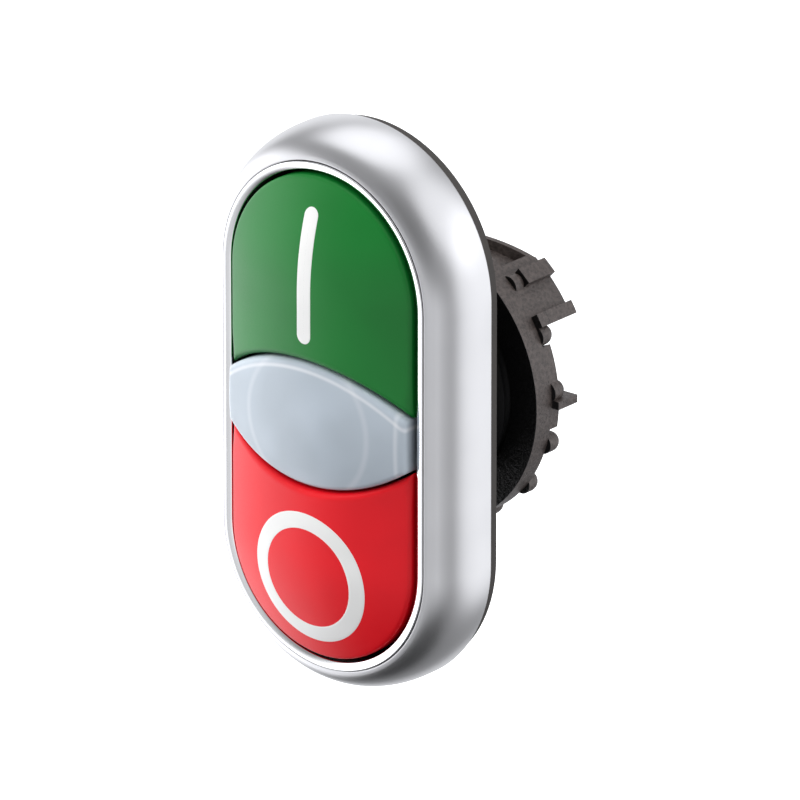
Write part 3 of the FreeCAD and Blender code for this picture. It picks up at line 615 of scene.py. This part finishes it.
def make_trim(materials):
    """Trim ring: a bright band that slopes gently inwards, with both edges eased."""
    s = settings()
    outer, lobe, front, back = size_of_oblong("trim_ring")
    inner = outer - s.trim_width
    ease = TRIM_EASE
    section = arc((outer - ease, front + ease), (ease, ease), 0, -80, 6)
    section += arc((inner + ease, front + ease + 2 * s.trim_slope), (ease, ease), -100, -180, 6)
    section += [(inner, back), (outer, back)]
    bm = sweep_oblong(section, lobe, s.round_steps)
    finish_mesh(bm, "trim_skin", "housing", materials["chrome"], "trim_ring")


def join_rows(bm, lower, upper):
    """Join two closed rows of vertices with four-sided faces."""
    count = len(lower)
    for i in range(count):
        j = (i + 1) % count
        bm.faces.new((lower[i], lower[j], upper[j], upper[i]))


def stack_loops(bm, loops):
    """Join a series of point loops into a skin, open at both ends, and return its rows."""
    rows = [[bm.verts.new(point) for point in points] for points in loops]
    for lower, upper in zip(rows, rows[1:]):
        join_rows(bm, lower, upper)
    return rows


def close_row(bm, row, point):
    """Close a row of vertices with triangles that meet at a point."""
    centre = bm.verts.new(point)
    for i, vert in enumerate(row):
        bm.faces.new((vert, row[(i + 1) % len(row)], centre))


class CapShape:
    """Outline and face of a cap: an oblong end, cut by the lens's arc."""

    def __init__(self, node_name):
        s = settings()
        low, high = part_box(node_name)
        self.radius = (high.x - low.x) / 2
        self.apex = low.y
        self.back = high.y
        self.lobe = max(abs(low.z), abs(high.z)) - self.radius
        lens_arc, self.offset = lens_arcs()
        self.arc = lens_arc + s.lens_gap
        rise = rim_depth() - s.cap_rise - self.apex
        self.crown = (self.radius ** 2 + rise ** 2) / (2 * rise)

    def corner(self, inset):
        """Height of the corner between the side and the lens's arc, at an inset."""
        reach = self.arc + inset
        half = self.radius - inset
        return math.sqrt(reach * reach - half * half) - self.offset

    def face_y(self, x, z):
        """Depth of the pillow face."""
        beyond = max(0.0, z - self.lobe)
        return self.apex + self.crown - math.sqrt(self.crown ** 2 - x * x - beyond * beyond)

    def outline(self, insets):
        """Points once round; insets holds one inset for each point."""
        arc_steps, side_steps, round_steps = CAP_STEPS
        remaining = iter(insets)
        points = []
        for i in range(arc_steps):
            inset = next(remaining)
            reach = self.arc + inset
            half = math.asin((self.radius - inset) / reach)
            angle = -half + 2 * half * i / arc_steps
            points.append((reach * math.sin(angle), reach * math.cos(angle) - self.offset))
        for i in range(side_steps):
            inset = next(remaining)
            corner = self.corner(inset)
            points.append((self.radius - inset, corner + (self.lobe - corner) * i / side_steps))
        for i in range(round_steps):
            reach = self.radius - next(remaining)
            angle = math.pi * i / round_steps
            points.append((reach * math.cos(angle), self.lobe + reach * math.sin(angle)))
        for i in range(side_steps):
            inset = next(remaining)
            corner = self.corner(inset)
            points.append((inset - self.radius, self.lobe + (corner - self.lobe) * i / side_steps))
        return points


def cap_edge_radii():
    """Rounding at each outline point: full along the lens, easing off up the sides."""
    s = settings()
    arc_steps, side_steps, round_steps = CAP_STEPS
    eased = []
    for i in range(side_steps):
        blend = min(1.0, i / (side_steps * EDGE_BLEND))
        blend = blend * blend * (3 - 2 * blend)
        eased.append(s.cap_lens_edge + (s.cap_edge - s.cap_lens_edge) * blend)
    down = [s.cap_edge] + eased[:0:-1]
    return [s.cap_lens_edge] * arc_steps + eased + [s.cap_edge] * round_steps + down


def make_cap(name, node_name, side, body, material):
    """Cap: crowned face, rounded edges and skirt."""
    shape = CapShape(node_name)
    radii = cap_edge_radii()
    skirt = shape.outline([0.0] * len(radii))
    loops = [[(x, shape.back, z * side) for x, z in skirt]]
    for step in range(EDGE_STEPS + 1):
        turn = math.pi / 2 * step / EDGE_STEPS
        insets = [radius * (1 - math.cos(turn)) for radius in radii]
        points = shape.outline(insets)
        loop = []
        for (x, z), radius in zip(points, radii):
            y = shape.face_y(x, z) + radius * (1 - math.sin(turn))
            loop.append((x, y, z * side))
        loops.append(loop)
    edge = shape.outline(radii)
    middle = shape.lobe
    for ring in range(1, CAP_RINGS):
        share = 1 - ring / CAP_RINGS
        loop = []
        for x, z in edge:
            px = x * share
            pz = middle + (z - middle) * share
            loop.append((px, shape.face_y(px, pz), pz * side))
        loops.append(loop)
    bm = bmesh.new()
    rows = stack_loops(bm, loops)
    close_row(bm, rows[-1], (0, shape.apex, middle * side))
    finish_mesh(bm, name, body, material, node_name)


def make_start_mark(materials):
    """Start mark: an upright bar with round ends, laid on the cap's face."""
    s = settings()
    shape = CapShape("start_cap")
    low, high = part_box("start_mark")
    half = (high.x - low.x) / 2
    bottom = low.z + half
    top = high.z - half
    outline = []
    for centre, start in ((top, 0), (bottom, 180)):
        for i in range(BAR_END_STEPS + 1):
            angle = math.radians(start + 180 * i / BAR_END_STEPS)
            outline.append((math.cos(angle), math.sin(angle), centre))
    loops = []
    for reach, lift in mark_profile(half, s.mark_lift):
        loop = []
        for cosine, sine, centre in outline:
            x = reach * cosine
            z = centre + reach * sine
            loop.append((x, shape.face_y(x, z) - lift, z))
        loops.append(loop)
    bm = bmesh.new()
    stack_loops(bm, loops)
    half_bar = (top - bottom) / 2
    long_edges = [e for e in bm.edges if abs(e.verts[0].co.z - e.verts[1].co.z) > half_bar]
    bmesh.ops.subdivide_edges(bm, edges=long_edges, cuts=BAR_CUTS)
    for vert in bm.verts:
        if bottom < vert.co.z < top:
            lift = mark_lift_at(abs(vert.co.x), half, s.mark_lift)
            vert.co.y = shape.face_y(vert.co.x, vert.co.z) - lift
    finish_mesh(bm, "start_mark_skin", "start_button", materials["white"],
                "start_mark")


def mark_profile(half, lift):
    """Reach and lift of a mark's loops, from its edge to its middle."""
    return [(half, -lift)] + [
        (half * share, mark_lift_at(half * share, half, lift))
        for share in MARK_SHARES
    ]


def mark_lift_at(reach, half, lift):
    """How far a mark stands out at a distance from its centre line."""
    inside = min(1.0, max(0.0, (half - reach) / (MARK_EDGE * half)))
    return lift * (2 * math.sqrt(inside) - 1) if inside < 1 else lift


def make_stop_mark(materials):
    """Stop mark: a round ring laid on the cap's face."""
    s = settings()
    shape = CapShape("stop_cap")
    low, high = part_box("stop_mark")
    centre = -(low.z + high.z) / 2
    outer = (high.x - low.x) / 2
    half = s.ring_stroke / 2
    middle = outer - half
    reaches = [reach for reach, lift in mark_profile(half, s.mark_lift)][:-1]
    across = [-reach for reach in reaches] + reaches[::-1]
    bm = bmesh.new()
    rows = []
    for offset in across:
        lift = mark_lift_at(abs(offset), half, s.mark_lift)
        row = []
        for i in range(RING_STEPS):
            angle = 2 * math.pi * i / RING_STEPS
            x = (middle + offset) * math.cos(angle)
            z = centre + (middle + offset) * math.sin(angle)
            row.append(bm.verts.new((x, shape.face_y(x, z) - lift, -z)))
        rows.append(row)
    for inner_row, outer_row in zip(rows, rows[1:]):
        join_rows(bm, inner_row, outer_row)
    finish_mesh(bm, "stop_mark_skin", "stop_button", materials["white"],
                "stop_mark")


def lens_outline(half_width, arc_radius, offset, inset):
    """Points once round the lens: two long arcs and two short upright ends."""
    arc_steps, end_steps = LENS_STEPS
    half = half_width - inset
    reach = arc_radius - inset
    spread_angle = math.asin(half / reach)
    corner = reach * math.cos(spread_angle) - offset
    points = []
    for i in range(arc_steps):
        angle = spread_angle - 2 * spread_angle * i / arc_steps
        points.append((reach * math.sin(angle), reach * math.cos(angle) - offset))
    for i in range(end_steps):
        points.append((-half, corner - 2 * corner * i / end_steps))
    for i in range(arc_steps):
        angle = -spread_angle + 2 * spread_angle * i / arc_steps
        points.append((reach * math.sin(angle), offset - reach * math.cos(angle)))
    for i in range(end_steps):
        points.append((half, -corner + 2 * corner * i / end_steps))
    return points


def make_lens(materials):
    """Lens: a hollow domed moulding with rounded edges and a skirt."""
    s = settings()
    low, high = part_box("lens")
    half_width = (high.x - low.x) / 2
    lens_arc, offset = lens_arcs()
    apex = low.y
    back = high.y
    wall = s.lens_wall

    def dome_y(x, z, radius):
        centre = apex + s.lens_dome
        return centre - math.sqrt(radius * radius - x * x - z * z)

    def ring_points(inset, y_of):
        outline = lens_outline(half_width, lens_arc, offset, inset)
        return [(x, y_of(x, z), z) for x, z in outline]

    loops = [ring_points(0.0, lambda x, z: back)]
    for step in range(EDGE_STEPS + 1):
        turn = math.pi / 2 * step / EDGE_STEPS
        inset = s.lens_edge * (1 - math.cos(turn))
        drop = s.lens_edge * (1 - math.sin(turn))
        loops.append(ring_points(inset, lambda x, z: dome_y(x, z, s.lens_dome) + drop))
    edge = lens_outline(half_width, lens_arc, offset, s.lens_edge)
    for ring in range(1, LENS_RINGS):
        share = 1 - ring / LENS_RINGS
        loops.append(
            [(x * share, dome_y(x * share, z * share, s.lens_dome), z * share) for x, z in edge]
        )
    bm = bmesh.new()
    rows = stack_loops(bm, loops)
    close_row(bm, rows[-1], (0, apex, 0))
    inner_edge = lens_outline(half_width, lens_arc, offset, wall)
    inner_dome = s.lens_dome - wall
    inner_loops = [[(x, back, z) for x, z in inner_edge]]
    for ring in range(LENS_RINGS):
        share = 1 - ring / LENS_RINGS
        inner_loops.append(
            [(x * share, dome_y(x * share, z * share, inner_dome), z * share)
             for x, z in inner_edge]
        )
    inner_rows = stack_loops(bm, inner_loops)
    close_row(bm, inner_rows[-1], (0, apex + wall, 0))
    join_rows(bm, rows[0], inner_rows[0])
    finish_mesh(bm, "lens_skin", "housing", materials["milky"], "lens")


def make_shank(materials):
    """Shank: smooth land in the panel, then a ridge wound by a spin that moves along."""
    s = settings()
    low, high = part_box("threaded_shank")
    land = (high.x - low.x) / 2
    crest = land - s.land_step
    root = crest - s.thread_depth
    bore = crest - s.shank_wall
    ease = SHANK_EASE
    pitch = s.thread_pitch
    start = s.land_length + THREAD_LEAD
    turns = int((high.y - THREAD_LEAD - start) / pitch) - 1
    steps = s.round_steps
    bm = bmesh.new()
    verts = [
        bm.verts.new((root + reach * s.thread_depth, start + share * pitch, 0))
        for reach, share in THREAD_PROFILE
    ]
    edges = [bm.edges.new(pair) for pair in zip(verts, verts[1:])]
    bmesh.ops.spin(
        bm, geom=verts + edges, cent=(0, 0, 0), axis=(0, 1, 0),
        dvec=(0, pitch / steps, 0), angle=2 * math.pi * turns, steps=steps * turns,
        use_merge=False, use_duplicate=False,
    )
    end = start + pitch * turns
    collar = crest - ease
    outline = [
        (bore, low.y), (crest, low.y), (crest, 0), (land - ease, 0), (land, ease),
        (land, s.land_length - ease), (land - ease, s.land_length), (root, s.land_length + ease),
        (root, end + ease), (collar, end + pitch), (collar, high.y - ease),
        (collar - ease, high.y), (bore + ease, high.y), (bore, high.y - ease),
    ]
    edges = loop_of(bm, [(radius, y, 0) for radius, y in outline])
    verts = [vert for vert in bm.verts if any(edge in edges for edge in vert.link_edges)]
    bmesh.ops.spin(
        bm, geom=verts + edges, cent=(0, 0, 0), axis=(0, 1, 0), dvec=(0, 0, 0),
        angle=2 * math.pi, steps=steps, use_merge=True, use_duplicate=False,
    )
    finish_mesh(bm, "shank_skin", "housing", materials["shank"],
                "threaded_shank", sharp_angle=30)


def make_spring(name, node_name, materials):
    """Return spring: round wire wound by a spin that moves along."""
    low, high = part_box(node_name)
    wire = settings().wire_radius
    reach = (high.x - low.x) / 2 - wire
    centre = (low.z + high.z) / 2
    length = high.y - low.y - 2 * wire
    steps = SPRING_TURNS * SPRING_STEPS
    bm = bmesh.new()
    made = bmesh.ops.create_circle(bm, cap_ends=False, segments=WIRE_SIDES, radius=wire)["verts"]
    bmesh.ops.translate(bm, verts=made, vec=(reach, low.y + wire, centre))
    bmesh.ops.spin(
        bm, geom=made + list(bm.edges), cent=(0, 0, centre), axis=(0, 1, 0),
        dvec=(0, length / steps, 0), angle=2 * math.pi * SPRING_TURNS, steps=steps,
        use_merge=False, use_duplicate=False,
    )
    bmesh.ops.holes_fill(bm, edges=[e for e in bm.edges if e.is_boundary], sides=0)
    piece = finish_mesh(bm, name, "housing", materials["steel"], node_name)
    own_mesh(piece)


def assign(node_name, material):
    """Give a CAD node its finish."""
    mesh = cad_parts[node_name].data
    mesh.materials.clear()
    mesh.materials.append(material)


# Operators, one for each group of pieces.


class PUSHBUTTON_OT_housing(bpy.types.Operator):
    """Make the bezel, trim ring and shank, and finish the body, gasket and seals"""

    bl_idname = "pushbutton.make_housing"
    bl_label = "Make Housing"

    def execute(self, context):
        make_bezel(FINISHES)
        make_trim(FINISHES)
        make_shank(FINISHES)
        assign("base_body", FINISHES["body"])
        assign("panel_gasket", FINISHES["rubber"])
        assign("seal_mat", FINISHES["silicone"])
        assign("guide_plate", FINISHES["black"])
        return {"FINISHED"}


class PUSHBUTTON_OT_lens(bpy.types.Operator):
    """Make the indicator lens, and finish its holder, seal and light guide"""

    bl_idname = "pushbutton.make_lens"
    bl_label = "Make Lens"

    def execute(self, context):
        make_lens(FINISHES)
        assign("lens_seal", FINISHES["silicone"])
        assign("lens_holder", FINISHES["holder"])
        assign("light_guide", FINISHES["clear"])
        return {"FINISHED"}


class PUSHBUTTON_OT_buttons(bpy.types.Operator):
    """Make both caps with their marks and springs, and finish the plungers"""

    bl_idname = "pushbutton.make_buttons"
    bl_label = "Make Buttons"

    def execute(self, context):
        make_cap("start_cap_skin", "start_cap", 1, "start_button", FINISHES["green"])
        make_cap("stop_cap_skin", "stop_cap", -1, "stop_button", FINISHES["red"])
        make_start_mark(FINISHES)
        make_stop_mark(FINISHES)
        for word in ("start", "stop"):
            make_spring(f"{word}_coil", f"{word}_spring", FINISHES)
            assign(f"{word}_plunger", FINISHES["holder"])
        return {"FINISHED"}


class PUSHBUTTON_OT_nut(bpy.types.Operator):
    """Finish the ring nut"""

    bl_idname = "pushbutton.make_nut"
    bl_label = "Make Nut"

    def execute(self, context):
        assign("locknut", FINISHES["nut"])
        return {"FINISHED"}


class PUSHBUTTON_OT_stage(bpy.types.Operator):
    """Set up the floor, the lights and the camera"""

    bl_idname = "pushbutton.make_stage"
    bl_label = "Make Stage"

    def execute(self, context):
        make_floor()
        make_lights()
        make_camera()
        return {"FINISHED"}


def make_floor():
    """Large pale floor, below the part, which doesn't tint the part's reflections."""
    bm = bmesh.new()
    bmesh.ops.create_grid(bm, x_segments=8, y_segments=8, size=FLOOR_HALF)
    mesh = bpy.data.meshes.new("floor")
    bm.to_mesh(mesh)
    bm.free()
    floor = bpy.data.objects.new("floor", mesh)
    floor.location = (0, 0, CAD_BOX[0][2] - FLOOR_DROP)
    floor.visible_glossy = False
    floor.visible_diffuse = False
    bpy.context.scene.collection.objects.link(floor)
    material, tree, shader, where = new_material("pale_floor_paint", {"Roughness": 0.9})
    speck = grain(tree, where, 30 * MM)
    mix_colours(tree, shader, speck.outputs[0], srgb("f4f4f4"), srgb("f8f8f8"))
    shader.inputs["Emission Color"].default_value = srgb("ffffff")
    shader.inputs["Emission Strength"].default_value = 0.6
    mesh.materials.append(material)


def direction(azimuth, elevation):
    """Unit vector; azimuth runs from the front towards +X, both in degrees."""
    a = math.radians(azimuth)
    e = math.radians(elevation)
    return Vector((math.sin(a) * math.cos(e), -math.cos(a) * math.cos(e), math.sin(e)))


def aim(item, target):
    """Turn a light or camera so that it looks at a point."""
    item.rotation_euler = (Vector(target) - item.location).to_track_quat("-Z", "Y").to_euler()


def add_light(name, azimuth, elevation, size, power):
    """A soft rectangular light, placed by the direction it comes from, that isn't reflected."""
    light = bpy.data.lights.new(name, "AREA")
    light.shape = "RECTANGLE"
    light.size = size[0]
    light.size_y = size[1]
    light.energy = power
    item = bpy.data.objects.new(name, light)
    item.location = LIGHT_DISTANCE * direction(azimuth, elevation)
    item.visible_glossy = False
    bpy.context.scene.collection.objects.link(item)
    aim(item, (0, 0, 0))


def make_room():
    """World of one even level with brighter and darker soft panels."""
    world = bpy.data.worlds.new("pale_room")
    bpy.context.scene.world = world
    world.use_nodes = True
    tree = world.node_tree
    where = node(tree, "ShaderNodeTexCoord")
    total = node(tree, "ShaderNodeMath", {0: ROOM_LEVEL, 1: 0.0}, operation="ADD")
    for azimuth, elevation, half_width, softness, brightness in ROOM_PANELS:
        towards = node(
            tree, "ShaderNodeVectorMath", {1: direction(azimuth, elevation)},
            operation="DOT_PRODUCT",
        )
        link(tree, where, "Generated", towards, 0)
        patch = node(
            tree, "ShaderNodeMapRange",
            {
                "From Min": math.cos(math.radians(half_width + softness)),
                "From Max": math.cos(math.radians(half_width)),
                "To Min": 0.0,
                "To Max": brightness,
            },
            interpolation_type="SMOOTHSTEP",
        )
        link(tree, towards, "Value", patch, "Value")
        added = node(tree, "ShaderNodeMath", operation="ADD")
        link(tree, total, 0, added, 0)
        link(tree, patch, 0, added, 1)
        total = added
    background = tree.nodes["Background"]
    background.inputs["Color"].default_value = srgb("fafbff")
    link(tree, total, 0, background, "Strength")


def make_lights():
    """Soft boxes at the sides and above, in a pale room."""
    for name, azimuth, elevation, size, power in LIGHTS:
        add_light(name, azimuth, elevation, size, power)
    make_room()
    bpy.context.scene.view_settings.view_transform = "Standard"


def make_camera():
    """A long lens from the right and above, as for a catalogue picture."""
    back = direction(*CAMERA_DIRECTION)
    right = Vector((0, 0, 1)).cross(back).normalized()
    up = back.cross(right)
    target = Vector((0, rim_depth(), 0)) + right * CAMERA_RIGHT + up * CAMERA_UP
    data = bpy.data.cameras.new("camera")
    data.sensor_width = CAMERA_SENSOR
    data.lens = CAMERA_LENS
    data.clip_end = 10
    camera = bpy.data.objects.new("camera", data)
    camera.location = target + back * CAMERA_DISTANCE
    bpy.context.scene.collection.objects.link(camera)
    aim(camera, target)
    bpy.context.scene.camera = camera


class PUSHBUTTON_PT_panel(bpy.types.Panel):
    """Settings and steps in the 3D view's sidebar"""

    bl_label = "Double Pushbutton"
    bl_idname = "PUSHBUTTON_PT_panel"
    bl_space_type = "VIEW_3D"
    bl_region_type = "UI"
    bl_category = "Pushbutton"

    def draw(self, context):
        layout = self.layout
        for name in PushbuttonSettings.__annotations__:
            layout.prop(context.scene.pushbutton, name)
        for step in STEPS:
            layout.operator(step.bl_idname)


STEPS = (
    PUSHBUTTON_OT_housing,
    PUSHBUTTON_OT_lens,
    PUSHBUTTON_OT_buttons,
    PUSHBUTTON_OT_nut,
    PUSHBUTTON_OT_stage,
)
CLASSES = (PushbuttonSettings, *STEPS, PUSHBUTTON_PT_panel)

# The finishes by their short names. main() fills it before the operators run.
FINISHES = {}


def register():
    for item in CLASSES:
        bpy.utils.register_class(item)
    bpy.types.Scene.pushbutton = PointerProperty(type=PushbuttonSettings)


def unregister():
    del bpy.types.Scene.pushbutton
    for item in reversed(CLASSES):
        bpy.utils.unregister_class(item)


def main():
    register()
    FINISHES.update(make_materials())
    bpy.ops.pushbutton.make_housing()
    bpy.ops.pushbutton.make_lens()
    bpy.ops.pushbutton.make_buttons()
    bpy.ops.pushbutton.make_nut()
    bpy.ops.pushbutton.make_stage()


if __name__ == "__main__":
    main()
